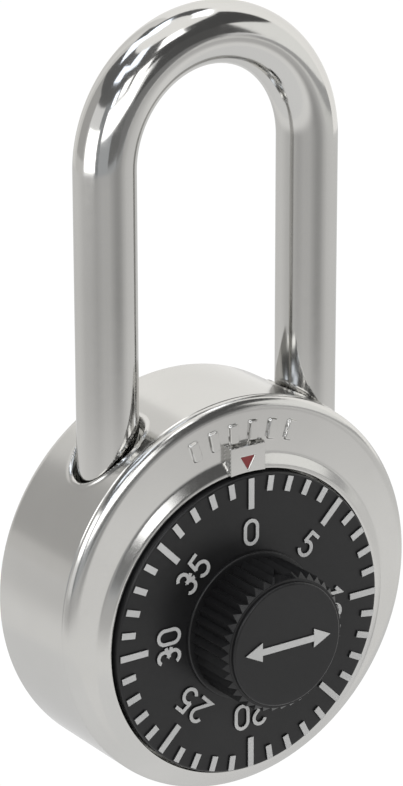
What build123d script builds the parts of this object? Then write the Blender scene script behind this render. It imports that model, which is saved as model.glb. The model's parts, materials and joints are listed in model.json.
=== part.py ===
"""Rotary combination padlock, 47.6 mm body with a long 7 mm shackle.

Frame: millimetres, +Z up, dial facing -Y. The origin is the centre of the flat rear face, on the
case's own axis. Depths are counted forwards from that face, so a depth d lies at y = -d.
"""
import os
from math import cos, hypot, radians, sin, tan

from build123d import *

# ---------------------------------------------------------------- driving dimensions
case_r = 23.8            # outer radius of the case
case_wall = 0.9
rear_edge_r = 1.0        # rounding of the rear rim
front_edge_r = 1.2       # rounding of the front rim
seam_depth = 14.0        # where the rear case ends and the front cover begins
seam_bevel = 0.1
annulus_depth = 15.35    # flat face of the front cover

dial_z = -3.0            # the dial sits this far below the case's axis
opening_r = 18.45        # opening in the front cover
lip_r = 18.92            # outer edge of the collar's narrow flat lip
collar_foot_r = 20.15
collar_slope = 32        # degrees between the collar's cone and the cover's flat face
dial_r = 18.2
dial_back = 15.2
dial_face = 16.8
mark_height = 0.25       # painted marks stand this far out of the dial

leg_x = 13.75            # shackle legs, either side of the middle
leg_r = 3.55
leg_depth = 8.4
bow_z = 51.2             # centre of the bow
heel_end_z = -12.0
toe_end_z = 9.5
shackle_travel = 14.0

knob_root_r = 7.75
knob_tip_r = 8.4
knob_teeth = 40
knob_flange_r = 8.95
knob_plateau_r = 7.4
knob_flange_depth = 17.35
knob_teeth_depth = 23.75
knob_depth = 24.15

inner_r = 22.8           # inner case, outside
inner_wall = 1.0
plate_back = 1.0         # rear plate, from this depth
plate_front = 2.0
inner_front = 12.6       # back of the inner case's front wall

wheel_r = 9.4
wheel_thickness = 1.2
wheel_depths = {"wheel_3": 3.2, "wheel_2": 5.6, "drive_wheel": 8.0}
gate_width = 2.0
gate_cut = 1.6
tab_r = 6.6              # radius of the driving tabs' middle
tab_long, tab_size = 2.0, 1.4
setting_hole_ring, setting_hole_r = 4.6, 0.75
tab_reach = 1.0
post_r = 2.5
spindle_r = 2.0
spindle_end = 20.5
running = 0.05           # radial clearance of everything that turns

latch_x, latch_z = -7.0, 8.4       # latch pivot
nose_x, nose_z = -11.55, 16.0      # tip of the latch's nose, in the shackle's notch
lever_x, lever_z = 8.2, 11.5       # locking lever pivot
pin_r = 1.0
latch_back, latch_front = 7.3, 9.5
lever_back, lever_front = 9.9, 11.1
rivets = [(-9.0, -17.5), (9.0, -17.5), (5.0, 19.0)]
rivet_r = 1.1

dial_axis = Axis((0, 0, dial_z), (0, 1, 0))
os.makedirs("parts", exist_ok=True)


def front(depth):
    """Plane facing the viewer of the dial, centred on the case's axis."""
    return Plane.XZ.offset(depth)


def dial_front(depth):
    """The same plane, centred on the dial's axis."""
    return Plane(origin=(0, -depth, dial_z), x_dir=(1, 0, 0), z_dir=(0, -1, 0))


def outline(*points):
    """Closed polygon of (radius, depth) corners, for revolving about a +Y axis."""
    Polygon(*[(r, -d) for r, d in points], align=None)


def save(block, name):
    block.part.label = name
    export_step(block.part, f"parts/{name}.step")


# ---------------------------------------------------------------- shackle
with BuildPart() as shackle:
    with BuildLine() as shackle_path:
        Line((-leg_x, -leg_depth, toe_end_z), (-leg_x, -leg_depth, bow_z))
        ThreePointArc((-leg_x, -leg_depth, bow_z), (0, -leg_depth, bow_z + leg_x),
                      (leg_x, -leg_depth, bow_z))
        Line((leg_x, -leg_depth, bow_z), (leg_x, -leg_depth, heel_end_z))
    with BuildSketch(Plane(origin=(-leg_x, -leg_depth, toe_end_z))):
        Circle(leg_r)
    sweep()
    toe_rim = shackle.edges().filter_by(GeomType.CIRCLE).sort_by_distance((-leg_x, -leg_depth, toe_end_z))[0]
    heel_rim = shackle.edges().filter_by(GeomType.CIRCLE).sort_by_distance((leg_x, -leg_depth, heel_end_z))[0]
    chamfer([toe_rim, heel_rim], 0.7)
    # notch for the latch's nose: a square shoulder above it and a long ramp below it
    notch_floor = nose_x - 0.12
    surface = -leg_x + leg_r
    with BuildSketch(front(leg_depth - leg_r)):
        with BuildLine():
            Polyline((surface + 1, nose_z + 0.75), (notch_floor, nose_z + 0.75),
                     (notch_floor, nose_z - 0.6), (surface, nose_z - 4.2),
                     (surface + 1, nose_z - 4.2), close=True)
        make_face()
    extrude(amount=2 * leg_r, mode=Mode.SUBTRACT)
    # groove for the retaining ring at the foot of the long leg
    groove_z, groove_r, ring_thickness = heel_end_z + 1.6, 2.7, 0.8
    with BuildSketch(Plane(origin=(leg_x, -leg_depth, groove_z))):
        Circle(leg_r + 0.5)
        Circle(groove_r, mode=Mode.SUBTRACT)
    extrude(amount=ring_thickness, mode=Mode.SUBTRACT)
save(shackle, "shackle")

ring_r = 3.95
with BuildPart() as heel_ring:
    with BuildSketch(Plane(origin=(leg_x, -leg_depth, groove_z))):
        Circle(ring_r)
        Circle(groove_r, mode=Mode.SUBTRACT)
        with Locations((0, -ring_r)):
            Rectangle(1.6, 2 * (ring_r - groove_r) + 0.6, mode=Mode.SUBTRACT)
    extrude(amount=ring_thickness)
save(heel_ring, "heel_ring")

# ---------------------------------------------------------------- outer case
hole_r, hole_lip_r, hole_lip_rise, hole_lip_bevel = 4.05, 4.7, 0.35, 0.2
hole_top = 20            # any height near the case's shoulder, well inside the holes' length
hole_cutter = 30
with BuildPart() as rear_case:
    with BuildSketch(Plane.XY):
        outline((0, 0), (case_r, 0), (case_r, seam_depth - seam_bevel), (case_r - seam_bevel, seam_depth),
                (case_r - case_wall, seam_depth), (case_r - case_wall, case_wall), (0, case_wall))
    revolve(axis=Axis.Y)
    rim = rear_case.edges().filter_by(GeomType.CIRCLE).group_by(Axis.Y)[-1].sort_by(SortBy.RADIUS)[-1]
    fillet(rim, rear_edge_r)
    # pressed lips round the shackle holes, following the curve of the case
    with BuildPart(mode=Mode.PRIVATE) as lips:
        with BuildSketch(Plane.XY):
            outline((case_r - case_wall, case_wall), (case_r + hole_lip_rise, case_wall),
                    (case_r + hole_lip_rise, seam_depth), (case_r - case_wall, seam_depth))
        revolve(axis=Axis.Y)
        with Locations((-leg_x, -leg_depth, hole_top), (leg_x, -leg_depth, hole_top)):
            Cylinder(hole_lip_r, hole_cutter, mode=Mode.INTERSECT)
        with Locations((-leg_x, -leg_depth, hole_top), (leg_x, -leg_depth, hole_top)):
            Cylinder(hole_r, hole_cutter, mode=Mode.SUBTRACT)
        top_r = case_r + hole_lip_rise - 0.01
        rims = lips.edges().filter_by(lambda e: hypot((e @ 0.5).X, (e @ 0.5).Z) > top_r)
        chamfer(rims, hole_lip_bevel)
    add(lips.part)
    with Locations((-leg_x, -leg_depth, hole_top), (leg_x, -leg_depth, hole_top)):
        Cylinder(hole_r, hole_cutter, mode=Mode.SUBTRACT)
save(rear_case, "rear_case")

# ---------------------------------------------------------------- front cover
plate_behind = annulus_depth - 0.9
collar_depth = annulus_depth + (collar_foot_r - lip_r) * tan(radians(collar_slope))
collar_edge_r = 0.9
tab_half, tab_bottom, tab_top, tab_depth, tab_draft = 2.6, 14.4, 18.9, 16.35, 14
infill_top, infill_bottom, infill_half = 17.45, 15.75, 1.03
infill_cut, infill_below = 0.4, 0.15     # depth of the pocket, and how far its fill stays below the tab
bar_count, bar_r, bar_step, bar_long, bar_wide, bar_rise = 6, 20.1, 7.6, 2.5, 1.3, 0.25


def infill_triangle():
    Polygon((-infill_half, infill_top), (infill_half, infill_top), (0, infill_bottom), align=None)


with BuildPart() as front_cover:
    # a flat plate with a turned-back skirt that meets the rear case at the seam
    skirt_r = case_r - case_wall
    with BuildSketch(Plane.XY) as section:
        outline((0, plate_behind), (skirt_r, plate_behind), (skirt_r, seam_depth),
                (case_r - seam_bevel, seam_depth), (case_r, seam_depth + seam_bevel),
                (case_r, annulus_depth), (0, annulus_depth))
        corner = section.vertices().sort_by_distance((case_r, -annulus_depth, 0))[0]
        fillet(corner, front_edge_r)
    revolve(axis=Axis.Y)
    # raised collar round the dial: a cone outside, rounded over into a narrow flat lip
    with BuildSketch(Plane.XY.offset(dial_z)) as section:
        outline((opening_r, plate_behind), (collar_foot_r, plate_behind), (collar_foot_r, annulus_depth),
                (lip_r, collar_depth), (opening_r, collar_depth))
        corner = section.vertices().sort_by_distance((lip_r, -collar_depth, dial_z))[0]
        fillet(corner, collar_edge_r)
    revolve(axis=dial_axis)
    # index tab over the collar, with its sides drafted
    with BuildSketch(front(plate_behind)):
        with Locations((0, (tab_top + tab_bottom) / 2)):
            Rectangle(2 * tab_half, tab_top - tab_bottom)
    extrude(amount=tab_depth - plate_behind, taper=tab_draft)
    with BuildSketch(dial_front(plate_behind)):
        Circle(opening_r)
    extrude(amount=tab_depth - plate_behind, mode=Mode.SUBTRACT)
    with BuildSketch(front(tab_depth)):
        infill_triangle()
    extrude(amount=-infill_cut, mode=Mode.SUBTRACT)
    # plain embossed bars in an arc above the tab
    for k in range(bar_count):
        turn = (k - (bar_count - 1) / 2) * bar_step
        with BuildSketch(front(annulus_depth)):
            with PolarLocations(bar_r, 1, start_angle=90 + turn):
                RectangleRounded(bar_long, bar_wide, 0.3)
        extrude(amount=bar_rise, taper=12)
save(front_cover, "front_cover")

with BuildPart() as index_mark:
    with BuildSketch(front(tab_depth - infill_cut)):
        infill_triangle()
    extrude(amount=infill_cut - infill_below)
save(index_mark, "index_mark")

# ---------------------------------------------------------------- mechanism housing
bush_r, bush_flange_r, bush_flange = 3.2, 4.5, 0.6
with BuildPart() as inner_case:
    outer_front = inner_front + inner_wall
    with BuildSketch(Plane.XY):
        outline((0, inner_front), (inner_r - inner_wall, inner_front), (inner_r - inner_wall, plate_back),
                (inner_r, plate_back), (inner_r, outer_front), (0, outer_front))
    revolve(axis=Axis.Y)
    with Locations((-leg_x, -leg_depth, hole_top), (leg_x, -leg_depth, hole_top)):
        Cylinder(leg_r + 0.1, hole_cutter, mode=Mode.SUBTRACT)
    with BuildSketch(dial_front(inner_front)):
        Circle(bush_r)
    extrude(amount=inner_wall, mode=Mode.SUBTRACT)
    with BuildSketch(front(inner_front)):
        with Locations(*rivets):
            Circle(rivet_r)
        with Locations((latch_x, latch_z), (lever_x, lever_z)):
            Circle(pin_r)
    extrude(amount=inner_wall, mode=Mode.SUBTRACT)
save(inner_case, "inner_case")

with BuildPart() as rear_plate:
    with BuildSketch(front(plate_back)):
        Circle(inner_r - inner_wall)
        with Locations(*rivets):
            Circle(rivet_r, mode=Mode.SUBTRACT)
        with Locations((latch_x, latch_z), (lever_x, lever_z)):
            Circle(pin_r, mode=Mode.SUBTRACT)
        with Locations((0, dial_z)):
            Circle(post_r - 0.6, mode=Mode.SUBTRACT)
    extrude(amount=plate_front - plate_back)
save(rear_plate, "rear_plate")

with BuildPart() as frame_rivets:
    with BuildSketch(front(plate_back)):
        with Locations(*rivets):
            Circle(rivet_r)
    extrude(amount=outer_front - plate_back)
    with BuildSketch(front(plate_front)):
        with Locations(*rivets):
            Circle(rivet_r + 0.7)
    extrude(amount=inner_front - plate_front)
save(frame_rivets, "frame_rivets")

# guide and stop for the long leg, and the socket for the tip of the short one
stop_low = heel_end_z + 1.6 + ring_thickness + shackle_travel + 0.1
guide_wide, guide_deep, guide_thick = 7.9, 10, 2.2
socket_wide, socket_tall, socket_floor = 9, 4, 1.8
with BuildPart() as heel_guide:
    with BuildSketch(Plane(origin=(leg_x, -leg_depth, stop_low))):
        with Locations((-0.2, 0)):
            RectangleRounded(guide_wide, guide_deep, 1.0)
        Circle(leg_r + running, mode=Mode.SUBTRACT)
    extrude(amount=guide_thick)
    with BuildSketch(Plane.XY):
        outline((0, plate_front), (inner_r - inner_wall, plate_front),
                (inner_r - inner_wall, inner_front), (0, inner_front))
    revolve(axis=Axis.Y, mode=Mode.INTERSECT)
save(heel_guide, "heel_guide")

with BuildPart() as toe_socket:
    with Locations((-leg_x, -leg_depth, toe_end_z - 0.4 - socket_floor + socket_tall / 2)):
        Box(socket_wide, guide_deep, socket_tall)
    with BuildSketch(Plane(origin=(-leg_x, -leg_depth, toe_end_z - 0.4))):
        Circle(leg_r + 0.1)
    extrude(amount=socket_tall, mode=Mode.SUBTRACT)
    with BuildSketch(Plane.XY):
        outline((0, plate_front), (inner_r - inner_wall, plate_front),
                (inner_r - inner_wall, inner_front), (0, inner_front))
    revolve(axis=Axis.Y, mode=Mode.INTERSECT)
save(toe_socket, "toe_socket")

# ---------------------------------------------------------------- dial and knob
dial_hub_r, dial_hub_back = 4.8, 14.35
teeth_bevel = 0.75
facet_half, facet_foot_depth, facet_clear = 1.9, 21.4, 9.5
with BuildPart() as dial:
    with BuildSketch(Plane.XY.offset(dial_z)):
        outline((0, dial_hub_back), (dial_hub_r, dial_hub_back), (dial_hub_r, dial_back), (dial_r, dial_back),
                (dial_r, dial_face), (knob_flange_r, dial_face), (knob_flange_r, knob_flange_depth),
                (knob_root_r, knob_flange_depth), (knob_root_r, knob_teeth_depth),
                (knob_plateau_r, knob_teeth_depth), (knob_plateau_r, knob_depth), (0, knob_depth))
    revolve(axis=dial_axis)
    for edge_r, edge_depth, rounding in ((dial_r, dial_face, 0.25), (knob_flange_r, knob_flange_depth, 0.2),
                                         (knob_plateau_r, knob_depth, 0.25)):
        edge = dial.edges().filter_by(GeomType.CIRCLE).sort_by_distance((0, -edge_depth, dial_z + edge_r))[0]
        fillet(edge, rounding)
    # the grip: sharp straight teeth, their front ends bevelled
    pitch = 360 / knob_teeth
    with BuildPart(mode=Mode.PRIVATE) as grip:
        with BuildSketch(dial_front(knob_flange_depth - 0.1)):
            corners = []
            for k in range(knob_teeth):
                valley, crest = radians((k - 0.5) * pitch), radians(k * pitch)
                corners.append((knob_root_r * sin(valley), knob_root_r * cos(valley)))
                corners.append((knob_tip_r * sin(crest), knob_tip_r * cos(crest)))
            Polygon(*corners, align=None)
            Circle(knob_plateau_r, mode=Mode.SUBTRACT)
        extrude(amount=knob_teeth_depth + 0.1 - knob_flange_depth)
        with BuildSketch(Plane.XY.offset(dial_z)):
            outline((0, dial_face), (knob_tip_r, dial_face), (knob_tip_r, knob_teeth_depth - teeth_bevel),
                    (knob_plateau_r + 0.2, knob_teeth_depth), (0, knob_teeth_depth))
        revolve(axis=dial_axis, mode=Mode.INTERSECT)
        # smooth pointed facet at the zero, cut back into the teeth
        with BuildSketch(Plane.YZ.offset(-facet_half)) as facet_side:
            Polygon((-knob_depth, dial_z + facet_clear), (-knob_depth, dial_z + knob_plateau_r - 0.1),
                    (-knob_teeth_depth, dial_z + knob_plateau_r),
                    (0.1 - facet_foot_depth, dial_z + knob_tip_r + 0.05),
                    (0.1 - facet_foot_depth, dial_z + facet_clear), align=None)
        with BuildPart(mode=Mode.PRIVATE) as facet:
            add(facet_side.sketch)
            extrude(amount=2 * facet_half)
            with BuildSketch(Plane.XY.offset(dial_z + knob_root_r - 1)):
                Polygon((0, -facet_foot_depth), (-facet_half, -knob_teeth_depth - 0.5),
                        (facet_half, -knob_teeth_depth - 0.5), align=None)
            extrude(amount=facet_clear - knob_root_r + 2, mode=Mode.INTERSECT)
        add(facet.part, mode=Mode.SUBTRACT)
    add(grip.part)
    # bore for the spindle
    with BuildSketch(dial_front(dial_hub_back)):
        Circle(spindle_r)
    extrude(amount=spindle_end - dial_hub_back, mode=Mode.SUBTRACT)
save(dial, "dial")

mark_width, long_mark, short_mark, mark_end = 0.76, 14.25, 16.15, 17.95
with BuildPart() as dial_graduations:
    with BuildSketch(dial_front(dial_face)):
        for start, count in ((long_mark, 8), (short_mark, 40)):
            with PolarLocations((start + mark_end) / 2, count, start_angle=90):
                Rectangle(mark_end - start, mark_width)
    extrude(amount=mark_height)
save(dial_graduations, "dial_graduations")

# numerals: centre lines of the strokes, in a cell 1.7 wide and 2.83 tall
stroke, cell_h, cell_w, numeral_r, advance = 0.42, 1.415, 0.84, 11.4, 2.5


def numeral_path(digit):
    """Centre line of one digit, drawn in the current BuildLine."""
    if digit == "0":
        bend = cell_h - cell_w
        Line((-cell_w, -bend), (-cell_w, bend))
        ThreePointArc((-cell_w, bend), (0, cell_h), (cell_w, bend))
        Line((cell_w, bend), (cell_w, -bend))
        ThreePointArc((cell_w, -bend), (0, -cell_h), (-cell_w, -bend))
    elif digit == "1":
        Polyline((-0.5, 0.75), (0.15, cell_h), (0.15, -cell_h))
    elif digit == "2":
        r = 0.8
        bowl = CenterArc((0, cell_h - r), r, 165, -205)
        Polyline(bowl @ 1, (-0.82, -cell_h), (0.86, -cell_h))
    elif digit == "3":
        CenterArc((0, 0.7), cell_h - 0.7, 150, -240)
        CenterArc((0, -0.655), cell_h - 0.655, 90, -240)
    elif digit == "5":
        Polyline((0.74, cell_h), (-0.52, cell_h), (-0.68, 0.02))
        CenterArc((-0.04, -0.555), 0.86, 140, -290)


def numeral_face(digit):
    """Face of one digit: its centre line drawn with a flat pen, its corners rounded."""
    with BuildLine() as path:
        numeral_path(digit)
    with BuildSketch() as face:
        trace(path.edges(), line_width=stroke)
        ends = [point for edge in path.edges() for point in (edge @ 0, edge @ 1)]
        corners = [p for p in ends if sum((p - other).length < 0.01 for other in ends) > 1]
        with Locations(*corners):
            Circle(stroke / 2)
    return face.sketch


digits = {digit: numeral_face(digit) for digit in "01235"}
with BuildPart() as dial_numerals:
    for number in range(0, 40, 5):
        text = str(number)
        with BuildSketch(dial_front(dial_face)):
            with PolarLocations(numeral_r, 1, start_angle=90 - 9 * number):
                for place, digit in enumerate(text):
                    with Locations((0, -(place - (len(text) - 1) / 2) * advance)):
                        add(digits[digit], rotation=-90)
        extrude(amount=mark_height)
save(dial_numerals, "dial_numerals")

# plain two-way turning arrow on the knob's face
with BuildPart() as knob_mark:
    with BuildSketch(dial_front(knob_depth)):
        Rectangle(7.2, 0.8)
        for side in (-1, 1):
            Polygon((side * 5.9, 0), (side * 3.6, 1.15), (side * 3.6, -1.15), align=None)
    extrude(amount=0.2)
save(knob_mark, "knob_mark")

# ---------------------------------------------------------------- spindle and wheel pack
clip_groove_r, clip_r, clip_back, clip_front = 1.6, 3.4, 11.3, 11.9

with BuildPart() as spindle_bush:
    with BuildSketch(Plane.XY.offset(dial_z)):
        outline((spindle_r + running, inner_front - 0.5), (bush_r, inner_front - 0.5),
                (bush_r, outer_front), (bush_flange_r, outer_front),
                (bush_flange_r, outer_front + bush_flange), (spindle_r + running, outer_front + bush_flange))
    revolve(axis=dial_axis)
save(spindle_bush, "spindle_bush")

drive_back = wheel_depths["drive_wheel"]
with BuildPart() as spindle:
    with BuildSketch(Plane.XY.offset(dial_z)):
        outline((0, drive_back), (spindle_r - 0.4, drive_back),
                (spindle_r - 0.4, drive_back + wheel_thickness), (spindle_r, drive_back + wheel_thickness),
                (spindle_r, clip_back), (clip_groove_r, clip_back), (clip_groove_r, clip_front),
                (spindle_r, clip_front), (spindle_r, spindle_end), (0, spindle_end))
    revolve(axis=dial_axis)
save(spindle, "spindle")

with BuildPart() as spindle_clip:
    with BuildSketch(dial_front(clip_back)):
        Circle(clip_r)
        Circle(clip_groove_r, mode=Mode.SUBTRACT)
        with Locations((0, -clip_r)):
            Rectangle(1.4, 2 * (clip_r - clip_groove_r) + 0.5, mode=Mode.SUBTRACT)
    extrude(amount=clip_front - clip_back)
save(spindle_clip, "spindle_clip")


def wheel(name, bore, front_tab, rear_tab, gate):
    """One combination wheel. Angles are degrees clockwise from the top; None leaves a tab out."""
    back = wheel_depths[name]
    with BuildPart() as block:
        with BuildSketch(dial_front(back)):
            Circle(wheel_r)
            Circle(bore, mode=Mode.SUBTRACT)
            with PolarLocations(wheel_r - gate_cut / 2, 1, start_angle=90 - gate):
                Rectangle(gate_cut + 0.2, gate_width, mode=Mode.SUBTRACT)
            with PolarLocations(setting_hole_ring, 4, start_angle=45 - gate):
                Circle(setting_hole_r, mode=Mode.SUBTRACT)
        extrude(amount=wheel_thickness)
        rims = block.edges().filter_by(GeomType.CIRCLE).filter_by(lambda e: e.radius > wheel_r - 0.01)
        chamfer(rims, 0.15)
        front_face = back + wheel_thickness
        for angle, start, reach in ((front_tab, front_face, tab_reach), (rear_tab, back, -tab_reach)):
            if angle is not None:
                with BuildSketch(dial_front(start)):
                    with PolarLocations(tab_r, 1, start_angle=90 - angle):
                        RectangleRounded(tab_long, tab_size, 0.3)
                extrude(amount=reach)
    save(block, name)
    return block


drive_wheel = wheel("drive_wheel", spindle_r - 0.4, None, 60, 250)
wheel_2 = wheel("wheel_2", post_r + running, 240, 30, 120)
wheel_3 = wheel("wheel_3", post_r + running, 210, None, 330)

# the post is riveted to the rear plate; its groove takes the clip that keeps the wheels on
post_end, post_groove_r = 7.55, 2.1
post_clip_back, post_clip_front, post_clip_r = 6.86, 7.2, 3.3
with BuildPart() as wheel_post:
    with BuildSketch(Plane.XY.offset(dial_z)):
        outline((0, plate_back), (post_r - 0.6, plate_back), (post_r - 0.6, plate_front),
                (post_r, plate_front), (post_r, post_clip_back), (post_groove_r, post_clip_back),
                (post_groove_r, post_clip_front), (post_r, post_clip_front), (post_r, post_end - 0.2),
                (post_r - 0.2, post_end), (0, post_end))
    revolve(axis=dial_axis)
save(wheel_post, "wheel_post")

with BuildPart() as post_clip:
    with BuildSketch(dial_front(post_clip_back)):
        Circle(post_clip_r)
        Circle(post_groove_r, mode=Mode.SUBTRACT)
        with Locations((0, -post_clip_r)):
            Rectangle(1.8, 2 * (post_clip_r - post_groove_r) + 0.5, mode=Mode.SUBTRACT)
    extrude(amount=post_clip_front - post_clip_back)
save(post_clip, "post_clip")

gap = 0.06
with BuildPart() as wheel_spacer:
    spacer_back = wheel_depths["wheel_3"] + wheel_thickness + gap
    with BuildSketch(dial_front(spacer_back)):
        Circle(3.7)
        Circle(post_r, mode=Mode.SUBTRACT)
    extrude(amount=wheel_depths["wheel_2"] - gap - spacer_back)
save(wheel_spacer, "wheel_spacer")

with BuildPart() as friction_washer:
    cone_front, sheet = wheel_depths["wheel_3"] - gap, 0.3
    with BuildSketch(Plane.XY.offset(dial_z)):
        outline((post_r, cone_front - sheet), (post_r, cone_front), (3.3, cone_front),
                (5.2, plate_front + sheet), (5.8, plate_front + sheet), (5.8, plate_front),
                (5.1, plate_front), (3.2, cone_front - sheet))
    revolve(axis=dial_axis)
save(friction_washer, "friction_washer")

# ---------------------------------------------------------------- latch and locking lever
with BuildPart() as latch:
    with BuildSketch(front(latch_back)):
        with Locations((latch_x, latch_z)):
            Circle(1.75)
        Polygon((latch_x - 1.3, latch_z + 1.1), (-9.75, 12.6), (nose_x, nose_z - 0.35),
                (nose_x, nose_z + 0.35), (-9.8, nose_z + 0.55), (-8.1, nose_z + 0.3),
                (latch_x - 0.4, 12.6), (latch_x + 1.6, latch_z + 0.6), align=None)
        with Locations((latch_x, latch_z)):
            Circle(pin_r + running, mode=Mode.SUBTRACT)
    extrude(amount=latch_front - latch_back)
save(latch, "latch")

fence_x, fence_low, fence_high = 3.0, 6.75, 8.4
with BuildPart() as locking_lever:
    with BuildSketch(front(lever_back)):
        with Locations((lever_x, lever_z)):
            Circle(1.6)
        Polygon((lever_x, lever_z - 1.6), (fence_x + 0.9, fence_low), (fence_x - 0.9, fence_low),
                (fence_x - 1.5, 9.6), (-1.6, 13.4), (-1.0, 14.6), (1.4, 13.9),
                (lever_x, lever_z + 1.6), align=None)
        with Locations((lever_x, lever_z)):
            Circle(pin_r, mode=Mode.SUBTRACT)
    extrude(amount=lever_front - lever_back)
    with BuildSketch(front(wheel_depths["wheel_3"] - 0.4)):
        with Locations((fence_x, (fence_low + fence_high) / 2)):
            Rectangle(gate_width - 0.4, fence_high - fence_low)
    extrude(amount=lever_back - wheel_depths["wheel_3"] + 0.4)
save(locking_lever, "locking_lever")

for name, x, z in (("latch_pin", latch_x, latch_z), ("lever_pin", lever_x, lever_z)):
    with BuildPart() as pin:
        with BuildSketch(front(plate_back)):
            with Locations((x, z)):
                Circle(pin_r)
        extrude(amount=outer_front - plate_back)
    save(pin, name)

wire_r, coil_turns = 0.25, 4


def torsion_spring(name, x, z, low, leg_angles):
    """Closed coil round a pin, a straight leg standing out of each end."""
    coil_r, pitch, leg = 1.55, 2 * wire_r + 0.08, 3.2
    with BuildPart() as block:
        for turn in range(coil_turns):
            with BuildSketch(Plane.XY.offset(z)):
                with Locations((x + coil_r, -(low + wire_r + turn * pitch))):
                    Circle(wire_r)
            revolve(axis=Axis((x, 0, z), (0, 1, 0)))
        for turn, angle in zip((0, coil_turns - 1), leg_angles):
            outward = Vector(cos(radians(angle)), 0, sin(radians(angle)))
            start = Vector(x, -(low + wire_r + turn * pitch), z) + outward * coil_r
            with BuildSketch(Plane(origin=start, z_dir=outward)):
                Circle(wire_r)
            extrude(amount=leg)
        with BuildSketch(Plane.XY.offset(z)):
            with Locations((x + coil_r, -(low + wire_r + (coil_turns - 1) * pitch / 2))):
                Rectangle(wire_r, (coil_turns - 1) * pitch)
        revolve(axis=Axis((x, 0, z), (0, 1, 0)))
    save(block, name)


torsion_spring("latch_spring", latch_x, latch_z, 4.6, (60, 121))
torsion_spring("lever_spring", lever_x, lever_z, 7.3, (100, 215))
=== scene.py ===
"""Combination padlock: a pressed front cover, a drawn rear case, a bent shackle and every node's finish,
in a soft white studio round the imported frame."""
import json
import math

import bmesh
import bpy
import numpy as np
from mathutils import Matrix, Vector


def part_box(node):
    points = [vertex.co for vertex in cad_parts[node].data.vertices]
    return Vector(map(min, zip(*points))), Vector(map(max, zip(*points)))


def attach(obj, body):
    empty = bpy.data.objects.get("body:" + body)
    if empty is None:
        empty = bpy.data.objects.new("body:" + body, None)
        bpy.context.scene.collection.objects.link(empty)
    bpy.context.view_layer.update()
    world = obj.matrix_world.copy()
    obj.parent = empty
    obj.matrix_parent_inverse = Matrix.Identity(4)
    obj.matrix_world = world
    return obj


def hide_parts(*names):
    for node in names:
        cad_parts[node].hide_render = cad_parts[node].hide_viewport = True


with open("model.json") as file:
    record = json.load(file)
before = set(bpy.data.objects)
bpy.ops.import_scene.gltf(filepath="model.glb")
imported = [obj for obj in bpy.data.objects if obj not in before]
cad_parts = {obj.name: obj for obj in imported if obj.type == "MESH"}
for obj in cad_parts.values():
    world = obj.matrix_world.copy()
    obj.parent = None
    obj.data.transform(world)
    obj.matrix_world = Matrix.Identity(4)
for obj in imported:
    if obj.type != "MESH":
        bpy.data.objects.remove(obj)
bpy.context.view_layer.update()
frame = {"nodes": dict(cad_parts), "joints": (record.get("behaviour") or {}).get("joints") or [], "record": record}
MM = 0.001

# ---------------------------------------------------------------- driving dimensions, millimetres
DIAL_Z = frame["joints"][0]["pos_m"][2] / MM
CASE_R = -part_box("front_cover")[0].x / MM
SEAM_DEPTH = -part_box("front_cover")[1].y / MM
TAB_DEPTH = -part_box("front_cover")[0].y / MM
OPENING_R = 18.45
PLATE_DEPTH = 15.35
PLATE_BACK = PLATE_DEPTH - 0.9
RIM_WIDE, RIM_DEEP = 1.45, 1.2
SKIRT_INNER_R = CASE_R - 0.9
SEAM_BEVEL = 0.1


# ---------------------------------------------------------------- small helpers
def place(name, data):
    made = bpy.data.objects.new(name, data)
    bpy.context.scene.collection.objects.link(made)
    return made


def smooth_step(x):
    x = np.clip(x, 0, 1)
    return x * x * (3 - 2 * x)


def smooth_max(a, b, blend):
    """Greater of two heights, rounded over where they cross."""
    h = np.clip(0.5 + 0.5 * (a - b) / blend, 0, 1)
    return b + (a - b) * h + blend * h * (1 - h)


def grid_mesh(name, grid, finish, ring=False, crease=30):
    """Smooth closed surface from a grid (rows, columns, 3) in millimetres. Columns wrap round; rows wrap
    too on a ring, and otherwise the first and last rows are closed over."""
    count, columns = grid.shape[:2]
    index = np.arange(count * columns).reshape(count, columns)
    right = np.roll(index, -1, 1)
    faces = np.stack([index, right, np.roll(right, -1, 0), np.roll(index, -1, 0)], -1)
    faces = (faces if ring else faces[:-1]).reshape(-1, 4).tolist()
    if not ring:
        faces += [index[0][::-1].tolist(), index[-1].tolist()]
    mesh = bpy.data.meshes.new(name)
    mesh.from_pydata((grid.reshape(-1, 3) * MM).tolist(), [], faces)
    mesh.materials.append(finish)
    smooth_mesh(mesh, crease)
    return place(name, mesh)


def smooth_mesh(mesh, crease):
    """Outward normals, and smooth shading except across edges sharper than the crease angle."""
    fixed = bmesh.new()
    fixed.from_mesh(mesh)
    bmesh.ops.recalc_face_normals(fixed, faces=fixed.faces)
    for edge in fixed.edges:
        edge.smooth = len(edge.link_faces) == 2 and edge.calc_face_angle() < math.radians(crease)
    for face in fixed.faces:
        face.smooth = True
    fixed.to_mesh(mesh)
    fixed.free()


def stands_for(piece, node, body):
    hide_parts(node)
    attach(piece, body)


# ---------------------------------------------------------------- materials
RAMP_ENDS = (0.3, 0.7)
METAL_EDGE = (0.8, 0.8, 0.8, 1)     # tint of the reflection at grazing angles
METAL_BLOTCH, PLASTIC_BLOTCH, PLASTIC_GRAIN = 60, 90, 1500     # repeats per metre
PLASTIC_BUMP = 0.01
PAINT_THICK = 0.06                  # depth of paint on the top of a raised mark


def material(name):
    made = bpy.data.materials.new(name)
    made.use_nodes = True
    return made, made.node_tree.nodes, made.node_tree.links, made.node_tree.nodes["Principled BSDF"]


def noise(nodes, links, scale, detail=3):
    """Noise fixed to the object; its scale is in repeats per metre."""
    where = nodes.new("ShaderNodeTexCoord")
    made = nodes.new("ShaderNodeTexNoise")
    made.inputs["Scale"].default_value = scale
    made.inputs["Detail"].default_value = detail
    links.new(where.outputs["Object"], made.inputs["Vector"])
    return made.outputs["Fac"]


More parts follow.
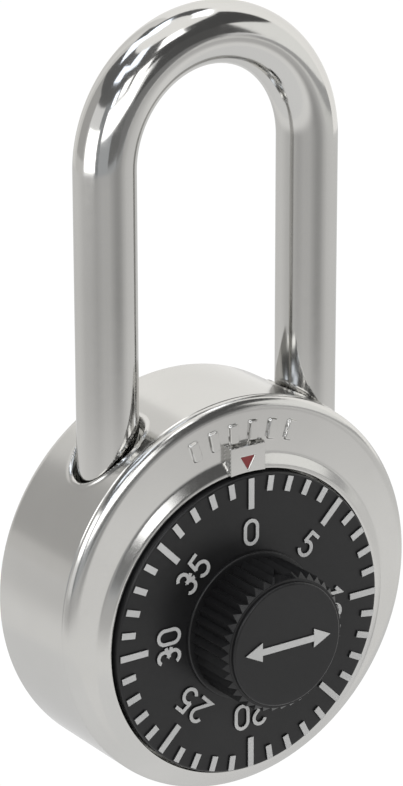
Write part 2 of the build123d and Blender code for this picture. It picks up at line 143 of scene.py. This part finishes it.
def ramp(nodes, links, value, low, high):
    made = nodes.new("ShaderNodeValToRGB")
    made.color_ramp.elements[0].position, made.color_ramp.elements[1].position = RAMP_ENDS
    made.color_ramp.elements[0].color, made.color_ramp.elements[1].color = (*low, 1), (*high, 1)
    links.new(value, made.inputs["Fac"])
    return made.outputs["Color"]


def bump(nodes, links, height, strength, distance):
    made = nodes.new("ShaderNodeBump")
    made.inputs["Strength"].default_value = strength
    made.inputs["Distance"].default_value = distance
    links.new(height, made.inputs["Height"])
    return made.outputs["Normal"]


def surface(made, low, high, rough, blotch, grain, strength, bump_mm):
    """Broad blotches of colour, and a fine grain in both the roughness and the relief."""
    made, nodes, links, shader = made
    links.new(ramp(nodes, links, noise(nodes, links, blotch, 4), low, high), shader.inputs["Base Color"])
    fine = noise(nodes, links, grain)
    links.new(ramp(nodes, links, fine, (rough[0],) * 3, (rough[1],) * 3), shader.inputs["Roughness"])
    links.new(bump(nodes, links, fine, strength, bump_mm * MM), shader.inputs["Normal"])
    return made


def metal(name, low, high, rough, grain=900, bump_mm=0.004):
    made = material(name)
    shader = made[-1]
    shader.inputs["Metallic"].default_value = 1
    shader.inputs["Specular Tint"].default_value = METAL_EDGE
    return surface(made, low, high, rough, METAL_BLOTCH, grain, 0.25, bump_mm)


def plastic(name, low, high, rough, specular=0.5):
    made = material(name)
    shader = made[-1]
    shader.inputs["Specular IOR Level"].default_value = specular
    return surface(made, low, high, rough, PLASTIC_BLOTCH, PLASTIC_GRAIN, 0.35, PLASTIC_BUMP)


def mark_paint(name, top_depth):
    """White paint on the tops of raised marks; their sides stay the black of the moulding."""
    made = plastic(name, (0.46, 0.46, 0.455), (0.54, 0.54, 0.535), (0.4, 0.55), specular=0.4)
    nodes, links = made.node_tree.nodes, made.node_tree.links
    shader = nodes["Principled BSDF"]
    paint = shader.inputs["Base Color"].links[0].from_socket
    where = nodes.new("ShaderNodeTexCoord")
    split = nodes.new("ShaderNodeSeparateXYZ")
    links.new(where.outputs["Object"], split.inputs["Vector"])
    on_top = nodes.new("ShaderNodeMath")
    on_top.operation = "LESS_THAN"
    on_top.inputs[1].default_value = (PAINT_THICK - top_depth) * MM
    links.new(split.outputs["Y"], on_top.inputs[0])
    choose = nodes.new("ShaderNodeMix")
    choose.data_type = "RGBA"
    links.new(on_top.outputs["Value"], choose.inputs["Factor"])
    colours = [socket for socket in choose.inputs if socket.type == "RGBA"]
    colours[0].default_value = (*DIAL_BLACK, 1)
    links.new(paint, colours[1])
    mixed = next(socket for socket in choose.outputs if socket.type == "RGBA")
    links.new(mixed, shader.inputs["Base Color"])
    return made


DIAL_BLACK = (0.011, 0.011, 0.0115)
FINISHES = {
    "satin_stainless": metal("satin_steel", (0.53, 0.525, 0.51), (0.58, 0.575, 0.56), (0.13, 0.21),
                             grain=7000, bump_mm=0.0012),
    "polished_shackle": metal("polished_steel", (0.54, 0.535, 0.52), (0.57, 0.565, 0.55), (0.08, 0.13)),
    "black_plastic": plastic("dial_plastic", (0.009, 0.009, 0.0095), (0.013, 0.013, 0.0135), (0.3, 0.42),
                             specular=0.32),
    "white_marks": mark_paint("dial_paint", -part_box("dial_numerals")[0].y / MM),
    "red_paint": plastic("index_paint", (0.16, 0.012, 0.015), (0.22, 0.02, 0.02), (0.25, 0.4)),
    "plated_steel": metal("zinc_plate", (0.5, 0.5, 0.47), (0.62, 0.61, 0.57), (0.25, 0.4)),
    "spring_steel": metal("spring_wire", (0.36, 0.36, 0.37), (0.46, 0.46, 0.47), (0.2, 0.32)),
    "brass": metal("stamped_brass", (0.62, 0.44, 0.18), (0.74, 0.55, 0.25), (0.22, 0.36)),
}
KNOB_PAINT = mark_paint("knob_paint", -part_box("knob_mark")[0].y / MM)


# ---------------------------------------------------------------- front cover
COLLAR_FOOT_R, COLLAR_CONE_R, COLLAR_TOP_R, COLLAR_LIP_R = 20.45, 19.9, 19.15, 18.66
COLLAR_SLOPE = math.radians(28)
MOUTH_R, BACK_BEVEL = 0.1, 0.05     # edges of the opening, at the front and at the back
TAB_HALF, TAB_BOTTOM, TAB_TOP, TAB_SIDE = 2.6, 14.4, 18.9, 0.22
POCKET_HALF, POCKET_TOP, POCKET_FOOT, POCKET_CUT = 1.03, 17.45, 15.75, 0.38
POCKET_EASE, POCKET_EDGE = 0.02, 0.16
TAB_ROOT, TAB_BLEND = 0.3, 0.08
BAR_COUNT, BAR_R, BAR_STEP, BAR_LONG, BAR_WIDE, BAR_RISE = 6, 20.1, 7.6, 2.5, 1.3, 0.34
BAR_CORNER, BAR_FOOT, BAR_EDGE = 0.35, 0.36, 0.16
FINE_TURN, FINE_STEP, COARSE_STEP = 30, 0.15, 0.75     # degrees: a finer mesh round the tab and the bars
MOUTH_ROWS, FACE_ROWS, RIM_ROWS = 5, 125, 22


def collar_profile():
    """Depth of the collar against the distance from the dial's axis, as a table for interpolation."""
    rho = np.linspace(OPENING_R, CASE_R + 3, 1200)
    foot = smooth_step((COLLAR_FOOT_R - rho) / (COLLAR_FOOT_R - COLLAR_CONE_R))
    top = smooth_step((rho - COLLAR_LIP_R) / (COLLAR_TOP_R - COLLAR_LIP_R))
    slope = np.tan(COLLAR_SLOPE * foot * top)
    rise = np.concatenate([[0], np.cumsum((slope[1:] + slope[:-1]) / 2 * np.diff(rho))])
    return rho, PLATE_DEPTH + rise[-1] - rise


COLLAR_RHO, COLLAR_HEIGHT = collar_profile()


def bars_height(x, z):
    """Plain embossed bars in an arc above the tab."""
    height = np.zeros_like(x)
    for k in range(BAR_COUNT):
        turn = math.radians((k - (BAR_COUNT - 1) / 2) * BAR_STEP)
        along = np.abs(x * math.sin(turn) + z * math.cos(turn) - BAR_R) - BAR_LONG / 2 + BAR_CORNER
        across = np.abs(x * math.cos(turn) - z * math.sin(turn)) - BAR_WIDE / 2 + BAR_CORNER
        outside = np.hypot(np.maximum(along, 0), np.maximum(across, 0))
        height += BAR_RISE * smooth_step((BAR_FOOT - outside) / BAR_EDGE)
    return height


def cover_height(x, z):
    """Depth of the cover's front, in millimetres ahead of the rear face, over a point of its face."""
    r = np.hypot(x, z)
    fall = np.clip((r - (CASE_R - RIM_WIDE)) / RIM_WIDE, 0, 1)
    rim_drop = RIM_DEEP * (1 - np.sqrt(1 - fall ** 2))
    rho = np.hypot(x, z - DIAL_Z)
    height = np.interp(rho, COLLAR_RHO, COLLAR_HEIGHT) - rim_drop
    tab_edge = np.minimum(np.minimum(TAB_HALF - np.abs(x), TAB_TOP - z), z - TAB_BOTTOM)
    root = PLATE_DEPTH - TAB_ROOT
    tab = root + (TAB_DEPTH - root) * smooth_step(tab_edge / TAB_SIDE)
    height = np.where(tab_edge > 0, smooth_max(height, tab, TAB_BLEND), height)
    lean = (POCKET_TOP - POCKET_FOOT) / POCKET_HALF
    side = (z - POCKET_FOOT - lean * np.abs(x)) / math.hypot(1, lean)
    pocket = np.minimum(side, POCKET_TOP - z)
    height -= POCKET_CUT * smooth_step((pocket + POCKET_EASE) / POCKET_EDGE)
    return height + bars_height(x, z)


def front_cover():
    """Ring of rows from the opening's edge over the collar, the face and the rim, and back inside."""
    fine = np.arange(-FINE_TURN, FINE_TURN, FINE_STEP)
    coarse = np.arange(FINE_TURN, 360 - FINE_TURN, COARSE_STEP)
    turn = np.radians(np.concatenate([fine, coarse]))
    ux, uz = np.sin(turn), np.cos(turn)

    def rho_at(r):
        """Distance from the dial's axis, along each ray, at which the case's radius is r."""
        b = uz * DIAL_Z
        return -b + np.sqrt(b * b - DIAL_Z ** 2 + r * r)

    def row(rho, depth):
        return np.stack([ux * rho, -depth * np.ones_like(ux), DIAL_Z + uz * rho], -1)

    def face_row(rho):
        return row(rho, cover_height(ux * rho, DIAL_Z + uz * rho))

    grid = []
    mouth = OPENING_R + MOUTH_R
    mouth_depth = cover_height(ux * mouth, DIAL_Z + uz * mouth)
    for angle in np.linspace(0, math.pi / 2, MOUTH_ROWS)[:-1]:
        rho = OPENING_R + MOUTH_R * (1 - math.cos(angle))
        grid.append(row(rho, mouth_depth - MOUTH_R * (1 - math.sin(angle))))
    flat_end = rho_at(CASE_R - RIM_WIDE)
    for share in np.linspace(0, 1, FACE_ROWS)[:-1]:
        grid.append(face_row(mouth + share * (flat_end - mouth)))
    for angle in np.linspace(0, math.pi / 2, RIM_ROWS):
        grid.append(face_row(rho_at(CASE_R - RIM_WIDE * (1 - math.sin(angle)))))
    for r, depth in ((CASE_R, SEAM_DEPTH + SEAM_BEVEL), (CASE_R - SEAM_BEVEL, SEAM_DEPTH),
                     (SKIRT_INNER_R, SEAM_DEPTH), (SKIRT_INNER_R, PLATE_BACK)):
        grid.append(row(rho_at(r), depth))
    grid.append(row(OPENING_R + BACK_BEVEL, PLATE_BACK))
    grid.append(row(OPENING_R, PLATE_BACK + BACK_BEVEL))
    piece = grid_mesh("front_cover_pressed", np.stack(grid), FINISHES["satin_stainless"],
                      ring=True, crease=60)
    stands_for(piece, "front_cover", "case")


# ---------------------------------------------------------------- rear case
LEG_X, LEG_R, LEG_Y = 13.75, 3.55, -8.4
CASE_WALL, REAR_EDGE_R = 0.9, 1.0
HOLE_R, HOLE_CROWN_R, HOLE_BLEND_R, HOLE_RISE, HOLE_ROLL = 4.05, 4.3, 4.8, 0.18, 0.3
HOLE_TURNS = (20, 54)          # degrees from the top between which the mesh is finer, on both sides
CENTRE_R = 0.5                 # innermost ring of the flat faces
CUTTER_Z, CUTTER_LONG = 22, 16      # the upright rods that cut the holes


def hole_lip(x, y):
    """How far the rolled lips round the two shackle holes stand out of the case's side."""
    s = np.hypot(np.abs(x) - LEG_X, y - LEG_Y)
    slope = HOLE_RISE * smooth_step((HOLE_BLEND_R - s) / (HOLE_BLEND_R - HOLE_CROWN_R)) ** 1.5
    roll = HOLE_ROLL * np.clip((HOLE_CROWN_R - s) / (HOLE_CROWN_R - HOLE_R), 0, 1.2) ** 2
    return slope - roll


def rear_case():
    """Drawn cup with rolled lips round its two holes."""
    start, end = HOLE_TURNS
    near = np.arange(start, end, 0.4)
    turn = np.radians(np.unique(np.concatenate([np.arange(-180, -end, 2), np.arange(-start, start, 2),
                                                np.arange(end, 180, 2), near, -near])))
    ux, uz = np.sin(turn), np.cos(turn)

    def row(r, depth):
        return np.stack([ux * r, np.full_like(ux, -depth), uz * r], -1)

    grid = [row(r, 0) for r in (CENTRE_R, 8, 16, CASE_R - REAR_EDGE_R - 0.2)]
    for angle in np.linspace(0, math.pi / 2, 10):
        inward, depth = REAR_EDGE_R * (1 - math.sin(angle)), REAR_EDGE_R * (1 - math.cos(angle))
        grid.append(row(CASE_R - inward, depth))
    for depth in np.arange(REAR_EDGE_R + 0.15, SEAM_DEPTH - SEAM_BEVEL - 0.05, 0.15):
        lip = np.where(uz > 0, hole_lip(ux * CASE_R, -depth), 0)
        grid.append(row(CASE_R + lip, depth))
    inner_r = CASE_R - CASE_WALL
    for r, depth in ((CASE_R, SEAM_DEPTH - SEAM_BEVEL), (CASE_R - SEAM_BEVEL, SEAM_DEPTH),
                     (inner_r, SEAM_DEPTH), (inner_r, CASE_WALL), (CENTRE_R, CASE_WALL)):
        grid.append(row(r, depth))
    piece = grid_mesh("rear_case_drawn", np.stack(grid), FINISHES["satin_stainless"])
    cut = bmesh.new()
    for side in (-1, 1):
        middle = Matrix.Translation(Vector((side * LEG_X, LEG_Y, CUTTER_Z)) * MM)
        bmesh.ops.create_cone(cut, cap_ends=True, segments=128, radius1=HOLE_R * MM, radius2=HOLE_R * MM,
                              depth=CUTTER_LONG * MM, matrix=middle)
    cutter_mesh = bpy.data.meshes.new("hole_cutter")
    cut.to_mesh(cutter_mesh)
    cut.free()
    cutter = place("hole_cutter", cutter_mesh)
    holes = piece.modifiers.new("holes", "BOOLEAN")
    holes.operation, holes.object, holes.solver = "DIFFERENCE", cutter, "EXACT"
    shape = bpy.data.meshes.new_from_object(piece.evaluated_get(bpy.context.evaluated_depsgraph_get()))
    piece.modifiers.clear()
    piece.data = shape
    bpy.data.objects.remove(cutter)
    smooth_mesh(shape, 30)
    stands_for(piece, "rear_case", "case")


# ---------------------------------------------------------------- shackle
BOW_Z, TOE_Z, HEEL_Z = 51.2, 9.5, -12.0
NOTCH_FLOOR, NOTCH_TOP, NOTCH_SHOULDER, NOTCH_FOOT = -11.67, 16.75, 15.4, 11.8
GROOVE_Z, GROOVE_R, GROOVE_WIDE = -10.4, 2.7, 0.8
TIP_BEVEL, TIP_MIDDLE, TIP_CENTRE_R = 0.7, 0.34, 0.01
STEP = 0.01                    # rise over which a square shoulder is made


def shackle():
    """One smooth tube: chamfered tip, notch, bow, and a groove at the foot of the long leg."""
    spin = np.linspace(0, 2 * math.pi, 120, endpoint=False)
    stations = []

    def leg(side, levels):
        for z, radius in levels:
            stations.append((side * LEG_X, z, side, 0.0, radius))

    def tip(z):
        """The bevelled end of a leg, from its centre out and up."""
        return [(z, TIP_CENTRE_R), (z, LEG_R - TIP_BEVEL), (z + TIP_BEVEL / 2, LEG_R - TIP_MIDDLE),
                (z + TIP_BEVEL, LEG_R)]

    notch = sorted({NOTCH_FOOT, NOTCH_SHOULDER, NOTCH_SHOULDER + STEP, NOTCH_TOP, NOTCH_TOP + STEP,
                    *np.linspace(NOTCH_FOOT, NOTCH_SHOULDER, 12)})
    leg(-1, tip(TOE_Z) + [(z, LEG_R) for z in (*notch, *np.linspace(18, BOW_Z, 12))])
    for turn in np.radians(np.linspace(0, 180, 97))[1:-1]:
        stations.append((-LEG_X * math.cos(turn), BOW_Z + LEG_X * math.sin(turn), -math.cos(turn),
                         math.sin(turn), LEG_R))
    ring_top = GROOVE_Z + GROOVE_WIDE
    leg(1, [(z, LEG_R) for z in np.linspace(BOW_Z, 0, 14)]
        + [(ring_top + STEP, LEG_R), (ring_top, GROOVE_R), (GROOVE_Z, GROOVE_R), (GROOVE_Z - STEP, LEG_R)]
        + tip(HEEL_Z)[::-1])
    rings = []
    for x, z, out_x, out_z, radius in stations:
        outward = radius * np.cos(spin)
        px, pz = x + out_x * outward, z + out_z * outward
        py = LEG_Y + radius * np.sin(spin)
        if x < 0 and NOTCH_FOOT - STEP / 10 < z < NOTCH_TOP + STEP / 2:
            slope = (z - NOTCH_FOOT) / (NOTCH_SHOULDER - NOTCH_FOOT)
            limit = -LEG_X + LEG_R + (NOTCH_FLOOR + LEG_X - LEG_R) * min(slope, 1)
            px = np.minimum(px, limit)
        rings.append(np.stack([px, py, pz], -1))
    piece = grid_mesh("shackle_bar", np.stack(rings), FINISHES["polished_shackle"])
    stands_for(piece, "shackle", "shackle")


def finish_nodes():
    slots = {row["node"]: row["material_slot"] for row in frame["record"]["subparts"]}
    for node, piece in frame["nodes"].items():
        for slot in piece.material_slots:
            slot.material = KNOB_PAINT if node == "knob_mark" else FINISHES[slots[node]]


# ---------------------------------------------------------------- studio and camera
CARD_R = 0.28
CARD_CENTRE = (0, -0.008, 0.052)
WORLD_LIGHT = 1.02
FLOOR_Z, FLOOR_CARD_LIFT = -0.12, 0.002
FLOOR_R, FLOOR_LIGHT, FLOOR_MIRRORED = 0.24, 1.02, 0.96

# reflector cards and softboxes round the object: azimuths, elevations, radius share, radiance, tint
CARDS = (
    (-180, 180, 56, 90, 1.00, 1.28, (1, 0.99, 0.97)),
    (-180, -5, 28, 66, 0.98, 0.17, (1, 1, 1)),
    (-5, 104, 26, 58, 0.98, 0.10, (1, 1, 1)),
    (104, 180, 58, 74, 0.98, 0.14, (1, 1, 1)),
    (-180, -165, -13, 52, 0.96, 1.08, (1, 0.99, 0.97)),
    (-165, -152, -13, 52, 0.96, 0.92, (1, 0.99, 0.97)),
    (-152, -114, -6, 32, 0.96, 0.56, (1, 0.99, 0.97)),
    (-152, -114, -13, -6, 0.96, 0.80, (1, 0.99, 0.97)),
    (-74, -56, -13, 30, 0.96, 0.36, (0.97, 1, 1.03)),
    (-60, 24, -13, 6, 0.96, 0.54, (0.97, 1, 1.03)),
    (3, 34, -12, 2, 0.95, 0.27, (1, 1, 1)),
    (5, 40, 2, 27, 0.95, 0.12, (1, 1, 1)),
    (-26, 3, -10, 6, 0.955, 0.22, (1, 1, 1)),
    (32, 82, -13, -5, 0.94, 0.88, (1, 1, 0.98)),
    (40, 82, -5, 29, 0.94, 1.18, (1, 1, 0.98)),
    (80, 165, -13, 60, 0.93, 1.33, (1, 0.99, 0.97)),
    (165, 180, -13, 60, 0.93, 1.02, (1, 0.99, 0.97)),
    (36, 79, -9, -2, 0.92, 0.52, (1, 1, 1)),
    (-107, -70, -10, 14, 0.4, 3.0, (1, 1, 1)),
    (-58, 0, 6, 24, 0.92, 3.0, (1, 1, 1)),
    (-57, -48, 26, 35, 0.92, 3.0, (0.9, 0.97, 1.08)),
    (-44, -30, 28, 39, 0.92, 3.0, (1, 1, 1)),
    (-23, -6, 26, 37, 0.92, 3.0, (1, 1, 1)),
    (-158, -122, 52, 66, 0.92, 2.4, (0.9, 0.97, 1.08)),
    (-91, -66, 44, 56, 0.92, 2.4, (0.9, 0.97, 1.08)),
    (-65, -37, 50, 67, 0.92, 2.2, (0.9, 0.97, 1.08)),
    (-8, 18, 46, 62, 0.92, 3.0, (1, 1, 1)),
    (62, 108, 61, 73, 0.92, 3.0, (0.97, 0.99, 1.03)),
    (160, 228, 66, 83, 0.92, 2.6, (0.9, 0.97, 1.08)),
)


def emitter(name, radiance, tint):
    made, nodes, links, shader = material(name)
    shader.inputs["Base Color"].default_value = (0, 0, 0, 1)
    shader.inputs["Roughness"].default_value = 1
    shader.inputs["Specular IOR Level"].default_value = 0
    shader.inputs["Emission Color"].default_value = (*tint, 1)
    shader.inputs["Emission Strength"].default_value = radiance
    return made, nodes, links, shader


# light of the ground round the object: azimuth, radiance at the ring's top, and all round at its foot
GROUND = ((-180, 0.90), (-147, 0.87), (-130, 0.80), (-114, 0.71), (-88, 0.66), (-66, 0.57),
          (-55, 0.60), (-44, 0.65), (-22, 0.65), (-9, 0.54), (3, 0.45), (12, 0.44), (22, 0.50),
          (30, 0.62), (48, 0.80), (69, 0.86), (100, 0.90), (180, 0.90))
GROUND_FOOT = 1.03
GROUND_TINT = (1, 0.995, 0.985)
CARD_STEP = 6                  # degrees between a card's rows and columns
GROUND_TOP_EL, GROUND_FOOT_EL, GROUND_FADE_EL = -13, -40, (-21, -31)


def on_sphere(az, el, radius):
    points = np.stack([np.sin(az) * np.cos(el), -np.cos(az) * np.cos(el), np.sin(el)], -1) * radius
    return points + np.array(CARD_CENTRE)


def patch(name, az, el, radius, finish):
    """Part of a sphere round the object that only reflections and light see. Angles are in degrees."""
    points = on_sphere(np.radians(az), np.radians(el), radius)
    index = np.arange(az.size).reshape(az.shape)
    faces = np.stack([index[:-1, :-1], index[:-1, 1:], index[1:, 1:], index[1:, :-1]], -1).reshape(-1, 4)
    mesh = bpy.data.meshes.new(name)
    mesh.from_pydata(points.reshape(-1, 3).tolist(), [], faces.tolist())
    mesh.materials.append(finish)
    made = place(name, mesh)
    made.visible_camera = False
    return mesh


def ground():
    """Ring below the horizon, its light fading smoothly from one azimuth and elevation to the next."""
    az, el = np.meshgrid(np.arange(-180, 181, 3), np.linspace(GROUND_TOP_EL, GROUND_FOOT_EL, 28))
    turns, light = np.array(GROUND).T
    fade = smooth_step((GROUND_FADE_EL[0] - el) / (GROUND_FADE_EL[0] - GROUND_FADE_EL[1]))
    radiance = np.interp(az, turns, light) * (1 - fade) + GROUND_FOOT * fade
    made, nodes, links, shader = emitter("ground_card", 1, (1, 1, 1))
    light_map = nodes.new("ShaderNodeAttribute")
    light_map.attribute_name = "light"
    links.new(light_map.outputs["Color"], shader.inputs["Emission Color"])
    mesh = patch("ground_card", az, el, CARD_R, made)
    shades = mesh.color_attributes.new("light", "FLOAT_COLOR", "POINT")
    colours = np.stack([*(radiance * tint for tint in GROUND_TINT), np.ones_like(radiance)], -1)
    shades.data.foreach_set("color", colours.ravel())


def card(number, az0, az1, el0, el1, share, radiance, tint):
    name = f"card_{number}"
    az, el = np.meshgrid(np.linspace(az0, az1, 2 + int((az1 - az0) / CARD_STEP)),
                         np.linspace(el0, el1, 2 + int((el1 - el0) / CARD_STEP)))
    patch(name, az, el, CARD_R * share, emitter(name, radiance, tint)[0])


def studio():
    world = bpy.data.worlds.new("studio")
    bpy.context.scene.world = world
    world.use_nodes = True
    background = world.node_tree.nodes["Background"]
    background.inputs["Color"].default_value = (1, 1, 1, 1)
    background.inputs["Strength"].default_value = WORLD_LIGHT
    for number, row in enumerate(CARDS):
        card(number, *row)
    ground()
    floor_disc("floor", FLOOR_Z, FLOOR_LIGHT)
    floor_disc("floor_card", FLOOR_Z + FLOOR_CARD_LIFT, FLOOR_MIRRORED).visible_camera = False


def floor_disc(name, z, radiance):
    disc = bmesh.new()
    bmesh.ops.create_circle(disc, cap_ends=True, segments=96, radius=FLOOR_R)
    bmesh.ops.translate(disc, verts=disc.verts, vec=(0, 0, z))
    mesh = bpy.data.meshes.new(name)
    disc.to_mesh(mesh)
    disc.free()
    mesh.materials.append(emitter(name, radiance, (1, 1, 1))[0])
    made = place(name, mesh)
    return made


EYE, LENS = (-206.372, -306.088, 148.666), 153.36183
EYE_RIGHT, EYE_UP = (0.82257, -0.56866, -0.00224), (0.18846, 0.26889, 0.94455)


def camera():
    data = bpy.data.cameras.new("camera")
    data.lens = LENS
    eye = place("camera", data)
    right, up = Vector(EYE_RIGHT), Vector(EYE_UP)
    turned = Matrix((right, up, right.cross(up))).transposed().to_4x4()
    eye.matrix_world = Matrix.Translation(Vector(EYE) * MM) @ turned
    bpy.context.scene.camera = eye


front_cover()
rear_case()
shackle()
finish_nodes()
studio()
camera()
bpy.context.scene.view_settings.view_transform = "Standard"
